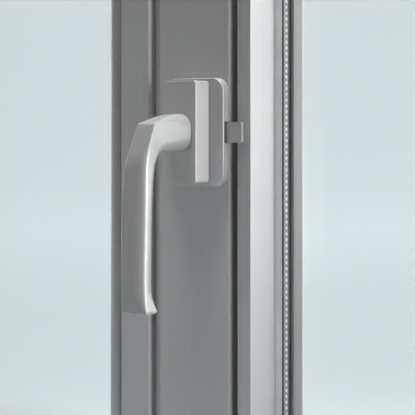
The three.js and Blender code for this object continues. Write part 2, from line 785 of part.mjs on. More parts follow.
function superPower(value, squareness) {
  return Math.sign(value) * Math.abs(value) ** (2 / squareness);
}

// Joins rings of points into one closed skin, with a flat fan at each end.
function loft(rings, sides) {
  const points = rings.flat();
  const faces = [];
  for (let row = 0; row + 1 < rings.length; row += 1) {
    for (let i = 0; i < sides; i += 1) {
      const next = (i + 1) % sides;
      const [a, b] = [row * sides + i, row * sides + next];
      faces.push(a, b, a + sides, b, b + sides, a + sides);
    }
  }
  const last = (rings.length - 1) * sides;
  for (let i = 1; i + 1 < sides; i += 1) {
    faces.push(0, i + 1, i);
    faces.push(last, last + i, last + i + 1);
  }
  const geometry = new THREE.BufferGeometry();
  geometry.setAttribute("position", new THREE.Float32BufferAttribute(points.flat(), 3));
  geometry.setIndex(faces);
  return geometry;
}
const lever = cut(
  join(leverGeometry(), disc(journalRadius, journalFrom, coverFront + 2)),
  squareBar(squareFit, 0, spindleTop + clearance),
);
addPiece(handle, "lever", lever, satin);

export default window;
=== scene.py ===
import math

import bmesh
import bpy
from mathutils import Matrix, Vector


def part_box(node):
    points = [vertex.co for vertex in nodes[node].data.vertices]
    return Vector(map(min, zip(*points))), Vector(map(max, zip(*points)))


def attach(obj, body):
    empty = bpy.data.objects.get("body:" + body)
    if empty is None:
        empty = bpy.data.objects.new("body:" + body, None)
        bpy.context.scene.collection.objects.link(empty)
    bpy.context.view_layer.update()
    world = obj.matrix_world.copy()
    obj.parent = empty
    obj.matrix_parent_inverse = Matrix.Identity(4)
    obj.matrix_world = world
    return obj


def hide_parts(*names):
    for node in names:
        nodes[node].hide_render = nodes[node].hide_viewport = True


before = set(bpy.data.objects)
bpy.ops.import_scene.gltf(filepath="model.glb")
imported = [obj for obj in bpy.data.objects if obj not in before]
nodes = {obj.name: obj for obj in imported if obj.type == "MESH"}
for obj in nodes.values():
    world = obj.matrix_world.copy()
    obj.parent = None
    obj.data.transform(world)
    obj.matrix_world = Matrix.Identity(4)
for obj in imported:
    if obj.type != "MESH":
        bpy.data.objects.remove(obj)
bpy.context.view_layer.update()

mm = 0.001


def middle(node):
    low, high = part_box(node)
    return (low + high) / 2


spindle = middle("spindle")
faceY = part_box("sash_right_stile")[0].y  # inside face of the sash


def fromSpindle(x, h, z):
    # x and z are from the spindle, h is how far a point stands out of the sash face, all in mm
    return Vector((spindle.x + x * mm, faceY - h * mm, spindle.z + z * mm))


print("frame loaded:", len(nodes), "nodes")

# The camera stands indoors, to the right of the handle and level with it.
cameraSetup = {
    "turn": 38,  # degrees to the right of straight on
    "distance": 0.75,
    "aside": 9.1,  # its aim is this far right of the spindle, in mm
    "rise": 3.9,  # and this far above it
    "lens": 100,
    "sensor": 36,
    "shift": -0.196,
    "nearest": 0.02,
}


def makeCamera():
    turn = math.radians(cameraSetup["turn"])
    aim = Vector((spindle.x + cameraSetup["aside"] * mm, faceY, spindle.z + cameraSetup["rise"] * mm))
    back = Vector((math.sin(turn), -math.cos(turn), 0))
    data = bpy.data.cameras.new("camera")
    data.lens = cameraSetup["lens"]
    data.sensor_width = cameraSetup["sensor"]
    data.shift_y = cameraSetup["shift"]
    data.clip_start = cameraSetup["nearest"]
    cam = bpy.data.objects.new("camera", data)
    cam.location = aim + back * cameraSetup["distance"]
    cam.rotation_mode = "QUATERNION"
    cam.rotation_quaternion = (-back).to_track_quat("-Z", "Y")
    bpy.context.scene.collection.objects.link(cam)
    bpy.context.scene.camera = cam


makeCamera()
print("camera placed")


# Shader groups that several finishes share.
def startGroup(name, inputs, outputs):
    tree = bpy.data.node_groups.new(name, "ShaderNodeTree")
    for label, kind, value in inputs:
        socket = tree.interface.new_socket(name=label, in_out="INPUT", socket_type=kind)
        socket.default_value = value
    for label, kind in outputs:
        tree.interface.new_socket(name=label, in_out="OUTPUT", socket_type=kind)
    return tree, tree.nodes.new("NodeGroupInput"), tree.nodes.new("NodeGroupOutput")


def addNode(tree, kind, **settings):
    node = tree.nodes.new(kind)
    for key, value in settings.items():
        setattr(node, key, value)
    return node


def setOrLink(tree, value, socket):
    if isinstance(value, (int, float)):
        socket.default_value = value
    else:
        tree.links.new(value, socket)


def combine(tree, operation, first, second, clamp=False):
    node = addNode(tree, "ShaderNodeMath", operation=operation, use_clamp=clamp)
    setOrLink(tree, first, node.inputs[0])
    setOrLink(tree, second, node.inputs[1])
    return node.outputs[0]


def noiseAt(tree, vector, scale, detail, rough):
    noise = addNode(tree, "ShaderNodeTexNoise")
    noise.inputs["Detail"].default_value = detail
    noise.inputs["Roughness"].default_value = rough
    setOrLink(tree, scale, noise.inputs["Scale"])
    tree.links.new(vector, noise.inputs["Vector"])
    return noise.outputs[0]


def extrusionLines():
    # faint die lines along a bar, and the fine tooth of the anodising over them
    tree, given, out = startGroup(
        "extrusionLines",
        [("Stretch", "NodeSocketVector", (700, 700, 5)),
         ("Line Depth", "NodeSocketFloat", 0.5),
         ("Tooth Depth", "NodeSocketFloat", 0.5),
         ("Tooth Scale", "NodeSocketFloat", 5200)],
        [("Height", "NodeSocketFloat"), ("Lines", "NodeSocketFloat")],
    )
    place = addNode(tree, "ShaderNodeTexCoord").outputs["Object"]
    stretched = addNode(tree, "ShaderNodeVectorMath", operation="MULTIPLY")
    tree.links.new(place, stretched.inputs[0])
    tree.links.new(given.outputs["Stretch"], stretched.inputs[1])
    lines = noiseAt(tree, stretched.outputs[0], 1.0, detail=4, rough=0.6)
    tooth = noiseAt(tree, place, given.outputs["Tooth Scale"], detail=1, rough=0.5)
    depth = combine(tree, "MULTIPLY", lines, given.outputs["Line Depth"])
    fine = combine(tree, "MULTIPLY", tooth, given.outputs["Tooth Depth"])
    tree.links.new(combine(tree, "ADD", depth, fine), out.inputs["Height"])
    tree.links.new(lines, out.inputs["Lines"])
    return tree


def handledMarks():
    # broad smudges where hands and cloths have been
    tree, given, out = startGroup(
        "handledMarks",
        [("Size", "NodeSocketFloat", 18), ("Contrast", "NodeSocketFloat", 1.0)],
        [("Mask", "NodeSocketFloat")],
    )
    place = addNode(tree, "ShaderNodeTexCoord").outputs["Object"]
    broad = noiseAt(tree, place, given.outputs["Size"], detail=5, rough=0.55)
    centred = combine(tree, "SUBTRACT", broad, 0.5)
    scaled = combine(tree, "MULTIPLY", centred, given.outputs["Contrast"])
    tree.links.new(combine(tree, "ADD", scaled, 0.5, True), out.inputs["Mask"])
    return tree


def edgeWearAndHighlight():
    # bare, lighter edges, found where a rounded normal leaves the face's own; partly real wear and partly a
    # painted highlight along the rims
    tree, given, out = startGroup(
        "edgeWearAndHighlight",
        [("Radius", "NodeSocketFloat", 0.0006),
         ("Strength", "NodeSocketFloat", 3.0),
         ("Breakup", "NodeSocketFloat", 240)],
        [("Mask", "NodeSocketFloat")],
    )
    rounded = addNode(tree, "ShaderNodeBevel", samples=4)
    tree.links.new(given.outputs["Radius"], rounded.inputs["Radius"])
    geometry = addNode(tree, "ShaderNodeNewGeometry")
    dot = addNode(tree, "ShaderNodeVectorMath", operation="DOT_PRODUCT")
    tree.links.new(rounded.outputs[0], dot.inputs[0])
    tree.links.new(geometry.outputs["Normal"], dot.inputs[1])
    bend = combine(tree, "SUBTRACT", 1.0, dot.outputs["Value"])
    strong = combine(tree, "MULTIPLY", bend, given.outputs["Strength"])
    place = addNode(tree, "ShaderNodeTexCoord").outputs["Object"]
    patchy = noiseAt(tree, place, given.outputs["Breakup"], detail=3, rough=0.6)
    tree.links.new(combine(tree, "MULTIPLY", strong, patchy, True), out.inputs["Mask"])
    return tree


def settledDust():
    # a little dust on whatever faces up
    tree, given, out = startGroup(
        "settledDust",
        [("Amount", "NodeSocketFloat", 0.25),
         ("Grain", "NodeSocketFloat", 900),
         ("Least Up", "NodeSocketFloat", 0.55),
         ("Fade", "NodeSocketFloat", 2.2)],
        [("Mask", "NodeSocketFloat")],
    )
    geometry = addNode(tree, "ShaderNodeNewGeometry")
    split = addNode(tree, "ShaderNodeSeparateXYZ")
    tree.links.new(geometry.outputs["Normal"], split.inputs[0])
    up = combine(tree, "SUBTRACT", split.outputs["Z"], given.outputs["Least Up"])
    lifted = combine(tree, "MULTIPLY", up, given.outputs["Fade"], True)
    place = addNode(tree, "ShaderNodeTexCoord").outputs["Object"]
    grain = noiseAt(tree, place, given.outputs["Grain"], detail=3, rough=0.7)
    dusty = combine(tree, "MULTIPLY", lifted, grain)
    tree.links.new(combine(tree, "MULTIPLY", dusty, given.outputs["Amount"], True), out.inputs["Mask"])
    return tree


def depthBand():
    # what lies between two depths, such as the outdoor leg of a bar that gets painted shade, or the outdoor
    # half of the floor that glows
    tree, given, out = startGroup(
        "depthBand",
        [("From", "NodeSocketFloat", 0.0),
         ("To", "NodeSocketFloat", 1.0),
         ("Slope", "NodeSocketFloat", 3000.0)],
        [("Mask", "NodeSocketFloat")],
    )
    split = addNode(tree, "ShaderNodeSeparateXYZ")
    tree.links.new(addNode(tree, "ShaderNodeTexCoord").outputs["Object"], split.inputs[0])
    beyond = combine(tree, "SUBTRACT", split.outputs["Y"], given.outputs["From"])
    short = combine(tree, "SUBTRACT", given.outputs["To"], split.outputs["Y"])
    both = combine(tree, "MINIMUM", beyond, short)
    tree.links.new(combine(tree, "MULTIPLY", both, given.outputs["Slope"], True), out.inputs["Mask"])
    return tree


groups = {
    "band": depthBand(),
    "lines": extrusionLines(),
    "marks": handledMarks(),
    "wearAndHighlight": edgeWearAndHighlight(),
    "dust": settledDust(),
}
print("shader groups made:", len(groups))


def useGroup(tree, key, values):
    node = addNode(tree, "ShaderNodeGroup", node_tree=groups[key])
    for label, value in values.items():
        node.inputs[label].default_value = value
    return node


def mixColour(tree, mask, first, second):
    mix = addNode(tree, "ShaderNodeMix", data_type="RGBA")
    tree.links.new(mask, mix.inputs["Factor"])
    for label, value in (("A", first), ("B", second)):
        socket = [s for s in mix.inputs if s.name == label and s.type == "RGBA"][0]
        if isinstance(value, tuple):
            socket.default_value = (*value, 1)
        else:
            tree.links.new(value, socket)
    return [s for s in mix.outputs if s.type == "RGBA"][0]


def spread(tree, mask, low, high):
    node = addNode(tree, "ShaderNodeMapRange")
    tree.links.new(mask, node.inputs["Value"])
    node.inputs["To Min"].default_value = low
    node.inputs["To Max"].default_value = high
    return node.outputs[0]


def bumpFrom(tree, height, strength, distance):
    bump = addNode(tree, "ShaderNodeBump")
    bump.inputs["Strength"].default_value = strength
    bump.inputs["Distance"].default_value = distance
    tree.links.new(height, bump.inputs["Height"])
    return bump.outputs[0]


def startMaterial(name):
    material = bpy.data.materials.new(name)
    material.use_nodes = True
    return material, material.node_tree, material.node_tree.nodes["Principled BSDF"]


# Metal finishes. In stretch, the number along the bar is small, so the lines run long that way.
# The outdoor depths are the two depths behind the sash face, in mm, between which a bar gets painted shade:
# a darker colour for the outdoor leg, which lies in shade behind the glass.
metalFinishes = {
    "satinUpright": {
        "colour": (0.50, 0.502, 0.505), "bare": (0.74, 0.74, 0.745), "metal": 0.45, "rough": (0.38, 0.46),
        "stretch": (620, 620, 4), "line": 0.55, "tooth": 0.45, "bump": 0.10,
        "outdoorShadeDepths": (47, 58.9), "outdoorShadeColour": (0.22, 0.22, 0.222),
    },
    "satinLevel": {
        "colour": (0.50, 0.502, 0.505), "bare": (0.74, 0.74, 0.745), "metal": 0.45, "rough": (0.38, 0.46),
        "stretch": (4, 620, 620), "line": 0.55, "tooth": 0.45, "bump": 0.10,
        "outdoorShadeDepths": (47, 58.9), "outdoorShadeColour": (0.22, 0.22, 0.222),
    },
    # the lever's copy of the plate finish, darker as painted shade: the lever's front stays out of the
    # sheen that lights the sash face
    "satinHandleShaded": {
        "colour": (0.43, 0.431, 0.433), "bare": (0.70, 0.70, 0.70), "metal": 0.40, "rough": (0.40, 0.48),
        "stretch": (900, 900, 900), "line": 0.15, "tooth": 0.6, "bump": 0.08,
    },
    "satinPlate": {
        "colour": (0.50, 0.502, 0.506), "bare": (0.78, 0.78, 0.78), "metal": 0.45, "rough": (0.36, 0.44),
        "stretch": (900, 900, 900), "line": 0.15, "tooth": 0.6, "bump": 0.08,
    },
    "zincSteel": {
        "colour": (0.60, 0.605, 0.615), "bare": (0.80, 0.80, 0.80), "metal": 0.9, "rough": (0.24, 0.36),
        "stretch": (260, 1400, 260), "line": 0.5, "tooth": 0.4, "bump": 0.10,
    },
    "millSpacer": {
        "colour": (0.24, 0.24, 0.242), "bare": (0.45, 0.45, 0.45), "metal": 0.35, "rough": (0.34, 0.5),
        "stretch": (300, 1200, 300), "line": 0.4, "tooth": 0.4, "bump": 0.08,
    },
}
metalLook = {
    "marks": {"Size": 16.0, "Contrast": 1.3},
    "wearAndHighlight": {"Radius": 0.5 * mm, "Strength": 1.2},
    "dust": {"Amount": 0.22},
    "dustColour": (0.62, 0.60, 0.57),
    "darkLine": 0.93,
    "lightLine": 1.06,
    "bumpDepth": 0.1 * mm,
}


def shade(colour, factor):
    return tuple(c * factor for c in colour)


def makeMetal(name):
    spec = metalFinishes[name]
    material, tree, shader = startMaterial(name)
    lines = useGroup(tree, "lines", {
        "Stretch": spec["stretch"], "Line Depth": spec["line"], "Tooth Depth": spec["tooth"]})
    marks = useGroup(tree, "marks", metalLook["marks"])
    wearAndHighlight = useGroup(tree, "wearAndHighlight", metalLook["wearAndHighlight"])
    dust = useGroup(tree, "dust", metalLook["dust"])
    darker = shade(spec["colour"], metalLook["darkLine"])
    lighter = shade(spec["colour"], metalLook["lightLine"])
    streaked = mixColour(tree, lines.outputs["Lines"], darker, lighter)
    # painted shade: between the outdoor depths a bar is darkened, standing in for the shade it lies in
    # behind the glass
    if "outdoorShadeDepths" in spec:
        near, far = spec["outdoorShadeDepths"]
        outdoorShade = useGroup(tree, "band", {"From": faceY + near * mm, "To": faceY + far * mm})
        streaked = mixColour(tree, outdoorShade.outputs["Mask"], streaked, spec["outdoorShadeColour"])
    # painted highlight, partly real wear: rims and edges get the lighter colour
    wornAndHighlit = mixColour(tree, wearAndHighlight.outputs["Mask"], streaked, spec["bare"])
    dusty = mixColour(tree, dust.outputs["Mask"], wornAndHighlit, metalLook["dustColour"])
    tree.links.new(dusty, shader.inputs["Base Color"])
    tree.links.new(spread(tree, marks.outputs["Mask"], *spec["rough"]), shader.inputs["Roughness"])
    shader.inputs["Metallic"].default_value = spec["metal"]
    bump = bumpFrom(tree, lines.outputs["Height"], spec["bump"], metalLook["bumpDepth"])
    tree.links.new(bump, shader.inputs["Normal"])
    return material


# Rubber, plastic, sealant and the drying agent in the spacer bars.
dullFinishes = {
    "blackRubber": {"colour": (0.012, 0.012, 0.013), "dusty": (0.07, 0.07, 0.072), "rough": (0.55, 0.75)},
    "greyRubber": {"colour": (0.60, 0.60, 0.60), "dusty": (0.66, 0.66, 0.66), "rough": (0.5, 0.65)},
    "blackPolymer": {"colour": (0.02, 0.02, 0.022), "dusty": (0.06, 0.06, 0.06), "rough": (0.35, 0.5)},
    "sealant": {"colour": (0.014, 0.014, 0.015), "dusty": (0.03, 0.03, 0.03), "rough": (0.6, 0.8)},
    "desiccant": {"colour": (0.70, 0.70, 0.69), "dusty": (0.86, 0.86, 0.85), "rough": (0.8, 0.9)},
}
dullLook = {
    "marks": {"Size": 60.0, "Contrast": 1.5},
    "lines": {"Stretch": (400, 400, 400), "Line Depth": 0.5, "Tooth Depth": 0.6, "Tooth Scale": 3200.0},
    "dust": {"Amount": 0.5},
    "mottle": 1.3,
    "bump": 0.25,
    "bumpDepth": 0.15 * mm,
}


def makeDull(name):
    spec = dullFinishes[name]
    material, tree, shader = startMaterial(name)
    marks = useGroup(tree, "marks", dullLook["marks"])
    lines = useGroup(tree, "lines", dullLook["lines"])
    dust = useGroup(tree, "dust", dullLook["dust"])
    lighter = shade(spec["colour"], dullLook["mottle"])
    mottled = mixColour(tree, marks.outputs["Mask"], spec["colour"], lighter)
    dusty = mixColour(tree, dust.outputs["Mask"], mottled, spec["dusty"])
    tree.links.new(dusty, shader.inputs["Base Color"])
    tree.links.new(spread(tree, marks.outputs["Mask"], *spec["rough"]), shader.inputs["Roughness"])
    bump = bumpFrom(tree, lines.outputs["Height"], dullLook["bump"], dullLook["bumpDepth"])
    tree.links.new(bump, shader.inputs["Normal"])
    return material


glassLook = {
    "tint": (0.97, 0.99, 0.985),
    "bend": 1.5,
    "smear": (0.0, 0.02),
    "marks": {"Size": 9.0, "Contrast": 1.2},
    "shadowTint": (0.95, 0.965, 0.96),
}


def makeGlass():
    material, tree, shader = startMaterial("clearGlass")
    shader.inputs["Base Color"].default_value = (*glassLook["tint"], 1)
    shader.inputs["Metallic"].default_value = 0
    shader.inputs["Transmission Weight"].default_value = 1
    shader.inputs["IOR"].default_value = glassLook["bend"]
    marks = useGroup(tree, "marks", glassLook["marks"])
    tree.links.new(spread(tree, marks.outputs["Mask"], *glassLook["smear"]), shader.inputs["Roughness"])
    # light reaches what lies behind the panes
    path = addNode(tree, "ShaderNodeLightPath")
    clear = addNode(tree, "ShaderNodeBsdfTransparent")
    clear.inputs["Color"].default_value = (*glassLook["shadowTint"], 1)
    mix = addNode(tree, "ShaderNodeMixShader")
    tree.links.new(path.outputs["Is Shadow Ray"], mix.inputs[0])
    tree.links.new(shader.outputs[0], mix.inputs[1])
    tree.links.new(clear.outputs[0], mix.inputs[2])
    tree.links.new(mix.outputs[0], tree.nodes["Material Output"].inputs["Surface"])
    return material


finishes = {name: makeMetal(name) for name in metalFinishes}
finishes.update({name: makeDull(name) for name in dullFinishes})
finishes["clearGlass"] = makeGlass()
print("materials made:", len(finishes))

# Which CAD nodes get which finish, and how wide their edges are rounded, in mm.
uprightBars = [
    "frame_left_jamb", "frame_right_jamb", "mullion", "fixed_left_bead", "fixed_right_bead",
    "sash_left_stile", "sash_right_stile", "sash_left_bead", "sash_right_bead",
]
levelBars = [
    "frame_head", "frame_sill", "fixed_top_bead", "fixed_bottom_bead",
    "sash_top_rail", "sash_bottom_rail", "sash_top_bead", "sash_bottom_bead",
]
hingeLeaves = [n for n in nodes if n.endswith("_leaf")]
handleShells = ["rosette_base", "rosette_housing", "rosette_cover", "lever"]
steelPieces = [n for n in nodes if "screw" in n or n.endswith("_pin")]
steelPieces += ["spindle", "drive_pinion", "detent_disc", "detent_ball", "detent_spring"]
nodeFinishes = [
    (uprightBars, "satinUpright", 0.25),
    (levelBars, "satinLevel", 0.25),
    (hingeLeaves, "satinPlate", 0.3),
    (handleShells, "satinPlate", 0),
    (["tongue"], "satinPlate", 0.35),
    (steelPieces, "zincSteel", 0.15),
    (["fixed_spacer", "sash_spacer"], "millSpacer", 0),
    (["fixed_edge_seal", "sash_edge_seal"], "sealant", 0),
    (["fixed_inner_gasket", "sash_inner_gasket"], "greyRubber", 0.4),
    (["fixed_outer_gasket", "sash_outer_gasket", "frame_seal"], "blackRubber", 0.4),
    (["neck_bush"], "blackPolymer", 0.2),
    ([n for n in nodes if n.endswith("_pane")], "clearGlass", 0.3),
]
edgeSetup = {"weld": 0.005, "segments": 2, "roundFrom": 35, "splitFrom": 48, "weight": 80}


def setMaterial(obj, finish):
    obj.data.materials.clear()
    obj.data.materials.append(finishes[finish])
    for polygon in obj.data.polygons:
        polygon.material_index = 0


def settleNormals(obj):
    # flat faces stay flat, and only small bends are smoothed
    split = obj.modifiers.new("split", "EDGE_SPLIT")
    split.split_angle = math.radians(edgeSetup["splitFrom"])
    normals = obj.modifiers.new("normals", "WEIGHTED_NORMAL")
    normals.keep_sharp = True
    normals.weight = edgeSetup["weight"]


def roundEdges(obj, width):
    weld = obj.modifiers.new("weld", "WELD")
    weld.merge_threshold = edgeSetup["weld"] * mm
    if width:
        bevel = obj.modifiers.new("bevel", "BEVEL")
        bevel.width = width * mm
        bevel.segments = edgeSetup["segments"]
        bevel.limit_method = "ANGLE"
        bevel.angle_limit = math.radians(edgeSetup["roundFrom"])
    settleNormals(obj)
    for polygon in obj.data.polygons:
        polygon.use_smooth = True


for names, finish, width in nodeFinishes:
    for name in names:
        setMaterial(nodes[name], finish)
        roundEdges(nodes[name], width)
print("finishes placed")


def faceOutward(mesh):
    work = bmesh.new()
    work.from_mesh(mesh)
    bmesh.ops.recalc_face_normals(work, faces=work.faces)
    work.to_mesh(mesh)
    work.free()


def linkMesh(name, mesh):
    obj = bpy.data.objects.new(name, mesh)
    bpy.context.scene.collection.objects.link(obj)
    return obj


def newPiece(name, vertices, faces, finish, body, smooth=True):
    mesh = bpy.data.meshes.new(name)
    mesh.from_pydata([tuple(v) for v in vertices], [], faces)
    mesh.validate()
    faceOutward(mesh)
    mesh.materials.append(finishes[finish])
    for polygon in mesh.polygons:
        polygon.use_smooth = smooth
    obj = linkMesh(name, mesh)
    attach(obj, body)
    return obj


def skinRings(rings):
    # one closed skin over rings of (x, h, z) points, with a flat face at each end
    sides = len(rings[0])
    vertices = [fromSpindle(*point) for ring in rings for point in ring]
    faces = []
    for row in range(len(rings) - 1):
        for i in range(sides):
            a = row * sides + i
            b = row * sides + (i + 1) % sides
            faces.append((a, b, b + sides, a + sides))
    faces.append(tuple(range(sides)))
    faces.append(tuple(range((len(rings) - 1) * sides, len(rings) * sides)))
    return vertices, faces


# The lever. Each station: front point and back point (height from the sash face, then z from the
# spindle), half width, front corner radius, back corner radius, all in mm.
leverShape = {
    "stations": [
        ((17.9, 12.0), (17.9, -12.0), 10.0, 9.4, 9.4),
        ((21.0, 11.8), (21.0, -12.0), 9.6, 8.8, 8.8),
        ((25.0, 11.5), (24.6, -12.0), 9.1, 7.6, 8.2),
        ((30.0, 11.1), (29.0, -12.0), 8.5, 5.6, 7.5),
        ((35.0, 10.1), (33.0, -12.0), 8.0, 4.0, 6.9),
        ((40.0, 8.7), (36.4, -12.1), 7.7, 2.8, 6.4),
        ((44.5, 7.3), (39.2, -12.5), 7.5, 1.8, 6.1),
        ((48.0, 6.2), (41.4, -13.3), 7.4, 1.1, 5.9),
        ((50.0, 5.4), (42.8, -14.2), 7.35, 0.9, 5.8),
        ((51.2, 3.4), (43.9, -15.2), 7.4, 0.9, 5.7),
        ((53.0, -0.6), (45.4, -16.8), 7.5, 1.0, 5.6),
        ((55.0, -5.2), (46.7, -18.6), 7.7, 1.3, 5.5),
        ((57.2, -10.2), (47.9, -20.8), 7.95, 1.9, 5.3),
        ((59.4, -15.4), (49.0, -23.4), 8.3, 3.2, 5.2),
        ((61.0, -20.8), (49.9, -26.4), 8.6, 4.0, 5.0),
        ((62.1, -27.6), (50.9, -30.6), 8.85, 4.7, 4.7),
        ((63.0, -36.5), (51.8, -37.5), 9.0, 5.2, 4.4),
        ((63.8, -57.0), (52.6, -57.0), 9.0, 5.4, 4.3),
        ((64.4, -78.0), (53.2, -78.0), 9.0, 5.3, 4.3),
        ((64.4, -90.0), (53.4, -90.0), 9.0, 5.0, 4.3),
        ((64.0, -98.0), (53.2, -97.6), 9.1, 4.4, 4.2),
        ((63.5, -103.0), (52.3, -102.8), 9.5, 3.3, 3.9),
        ((62.8, -107.0), (51.0, -107.0), 10.0, 2.2, 3.2),
        ((62.2, -109.6), (50.2, -109.7), 10.3, 1.4, 2.4),
    ],
    "steps": 4,  # rows between two stations
    "cornerSteps": 5,
    "leftCorner": 1.3,  # the grip's left front edge stays crisp
    "crispFrom": 48,  # that edge sharpens up to this height, at this rate
    "crispRate": 0.6,
    "rightWiden": 0.8,  # the right front edge gets this much wider than it is deep
    "widenFrom": 10,  # from this far below the spindle, over this length
    "widenOver": 38,
    "fullest": 0.995,  # a corner stays just under half of the section
    "smallest": 0.1,
    "endDrop": 2.2,  # how far the rounded end reaches below the last station
    "endSteps": 5,
    "endShrink": 0.6,  # how fast the corners close in the rounded end
    "journal": (10.2, 17.9),  # the round foot that turns in the cover
    "journalRadius": 8.0,
    "normalWeight": 60,
}


def blendRow(rows, t):
    # a smooth curve through the stations, one value at a time
    i = min(int(t), len(rows) - 2)
    f = t - i
    before, after = rows[max(i - 1, 0)], rows[min(i + 2, len(rows) - 1)]
    out = []
    for a, b, c, d in zip(before, rows[i], rows[i + 1], after):
        m1, m2 = (c - a) / 2, (d - b) / 2
        start = (2 * f**3 - 3 * f**2 + 1) * b + (f**3 - 2 * f**2 + f) * m1
        end = (-2 * f**3 + 3 * f**2) * c + (f**3 - f**2) * m2
        out.append(start + end)
    return out


def leverSection(row, shrink=0.0):
    shape = leverShape
    frontH, frontZ, backH, backZ, half, frontCorner, backCorner = row
    front, back = Vector((0, frontH, frontZ)), Vector((0, backH, backZ))
    centre = (front + back) / 2
    axis = (front - back).normalized()
    depth = (front - back).length / 2 - shrink
    half = half - shrink
    crisp = shape["crispRate"] * (shape["crispFrom"] - frontH)
    leftFront = min(frontCorner, max(shape["leftCorner"], crisp))
    down = max(0.0, min(1.0, (-frontZ - shape["widenFrom"]) / shape["widenOver"]))
    corners = [(1, 1, frontCorner), (-1, 1, leftFront), (-1, -1, backCorner), (1, -1, backCorner)]
    ring = []
    for quarter, (sideX, sideD, corner) in enumerate(corners):
        limited = min(corner, half * shape["fullest"], depth * shape["fullest"])
        deep = max(limited - shrink * shape["endShrink"], shape["smallest"])
        wide = deep
        if quarter == 0:
            wide = min(deep * (1 + shape["rightWiden"] * down), 2 * half - 2 * shape["leftCorner"])
        for i in range(shape["cornerSteps"] + 1):
            angle = math.pi / 2 * (quarter + i / shape["cornerSteps"])
            x = sideX * (half - wide) + wide * math.cos(angle)
            d = sideD * (depth - deep) + deep * math.sin(angle)
            ring.append(Vector((x, 0, 0)) + centre + axis * d)
    return ring


def makeLever():
    shape = leverShape
    rows = [(*front, *back, *rest) for front, back, *rest in shape["stations"]]
    count = (len(rows) - 1) * shape["steps"]
    rings = [leverSection(blendRow(rows, i / shape["steps"])) for i in range(count + 1)]
    frontH, frontZ, backH, backZ, *rest = rows[-1]
    for i in range(1, shape["endSteps"] + 1):
        angle = math.pi / 2 * i / shape["endSteps"]
        fall = shape["endDrop"] * math.sin(angle)
        low = (frontH, frontZ - fall, backH, backZ - fall, *rest)
        rings.append(leverSection(low, shape["endDrop"] * (1 - math.cos(angle))))
    sides = len(rings[0])
    angles = [2 * math.pi * i / sides + math.pi / sides for i in range(sides)]
    radius = shape["journalRadius"]
    foot = [[(radius * math.cos(a), h, radius * math.sin(a)) for a in angles] for h in shape["journal"]]
    vertices, faces = skinRings(foot + rings)
    lever = newPiece("lever_casting", vertices, faces, "satinHandleShaded", "handle")
    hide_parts("lever")
    normals = lever.modifiers.new("normals", "WEIGHTED_NORMAL")
    normals.weight = shape["normalWeight"]


makeLever()
print("lever made")

# The rosette: two plate layers and a raised cover, in mm from the spindle and the sash face.
rosetteShape = {
    "left": -20.5, "right": 26.8, "high": 35.0, "corner": 9.0, "cornerSteps": 12, "tightest": 0.2,
    "baseFrom": 0.3, "baseTop": 3.3, "baseEdge": 0.3, "baseBore": 8.4,
    "housingFrom": 3.4, "top": 6.6, "edge": 0.7, "joint": 0.25, "housingBore": 5.6,
    "coverFrom": 6.9, "coverFront": 17.6, "coverHalf": 15.5, "coverHigh": 33.0, "coverDraft": 2.3,
    "coverCorner": 2.0, "coverCornerSteps": 6, "coverBackEdge": 0.15, "coverEdge": 0.45, "coverBore": 8.3,
    "slotLeft": 21.0, "slotRight": 40.0, "slotHigh": 6.85, "slotTop": 5.2,
    "plateCut": (-1, 9), "coverCut": (10, 30), "boreSides": 48, "edgeSteps": 4,
}


def plateRing(inset, h, left, right, high, corner, steps):
    ring = []
    corner = max(corner - inset, rosetteShape["tightest"])
    for quarter, (sideX, sideZ) in enumerate(((1, 1), (-1, 1), (-1, -1), (1, -1))):
        edgeX = (right if sideX > 0 else left) - sideX * (inset + corner)
        edgeZ = sideZ * (high - inset - corner)
        for i in range(steps + 1):
            angle = math.pi / 2 * (quarter + i / steps)
            ring.append((edgeX + corner * math.cos(angle), h, edgeZ + corner * math.sin(angle)))
    return ring


def plateAt(inset, h):
    shape = rosetteShape
    return plateRing(inset, h, shape["left"], shape["right"], shape["high"], shape["corner"],
                     shape["cornerSteps"])


def coverAt(inset, h):
    # the cover narrows towards its front
    shape = rosetteShape
    lean = shape["coverDraft"] * (h - shape["top"]) / (shape["coverFront"] - shape["top"])
    half = shape["coverHalf"] - lean
    return plateRing(inset, h, -half, half, shape["coverHigh"], shape["coverCorner"],
                     shape["coverCornerSteps"])


def roundedRings(start, end, edgeLow, edgeHigh, makeRing):
    # rings from one face to the other, with a rounded edge at each
    steps = rosetteShape["edgeSteps"]
    angles = [math.pi / 2 * i / steps for i in range(steps + 1)]
    low = [makeRing(edgeLow * (1 - math.sin(a)), start + edgeLow * (1 - math.cos(a))) for a in angles]
    high = [makeRing(edgeHigh * (1 - math.cos(a)), end - edgeHigh * (1 - math.sin(a))) for a in angles]
    return low + high


def prismCutter(outline, hFrom, hTo):
    # outline is a list of (x, z) from the spindle, in mm
    count = len(outline)
    mesh = bpy.data.meshes.new("cutter")
    vertices = [fromSpindle(x, h, z) for h in (hFrom, hTo) for x, z in outline]
    faces = [tuple(range(count)), tuple(range(count, 2 * count))]
    faces += [(i, (i + 1) % count, (i + 1) % count + count, i + count) for i in range(count)]
    mesh.from_pydata(vertices, [], faces)
    faceOutward(mesh)
    return linkMesh("cutter", mesh)


def circleOutline(radius):
    count = rosetteShape["boreSides"]
    angles = [2 * math.pi * i / count for i in range(count)]
    return [(radius * math.cos(a), radius * math.sin(a)) for a in angles]


def cutWith(piece, cutters):
    # cuts the piece for good, so that its mesh holds the opening
    for cutter in cutters:
        step = piece.modifiers.new("cut", "BOOLEAN")
        step.object = cutter
        step.solver = "EXACT"
    graph = bpy.context.evaluated_depsgraph_get()
    finished = bpy.data.meshes.new_from_object(piece.evaluated_get(graph))
    piece.modifiers.clear()
    piece.data = finished
    for cutter in cutters:
        bpy.data.objects.remove(cutter)


def makeShell(name, node, rings, cuts):
    vertices, faces = skinRings(rings)
    shell = newPiece(name, vertices, faces, "satinPlate", "sash")
    cutWith(shell, [prismCutter(outline, *heights) for outline, heights in cuts])
    settleNormals(shell)
    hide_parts(node)


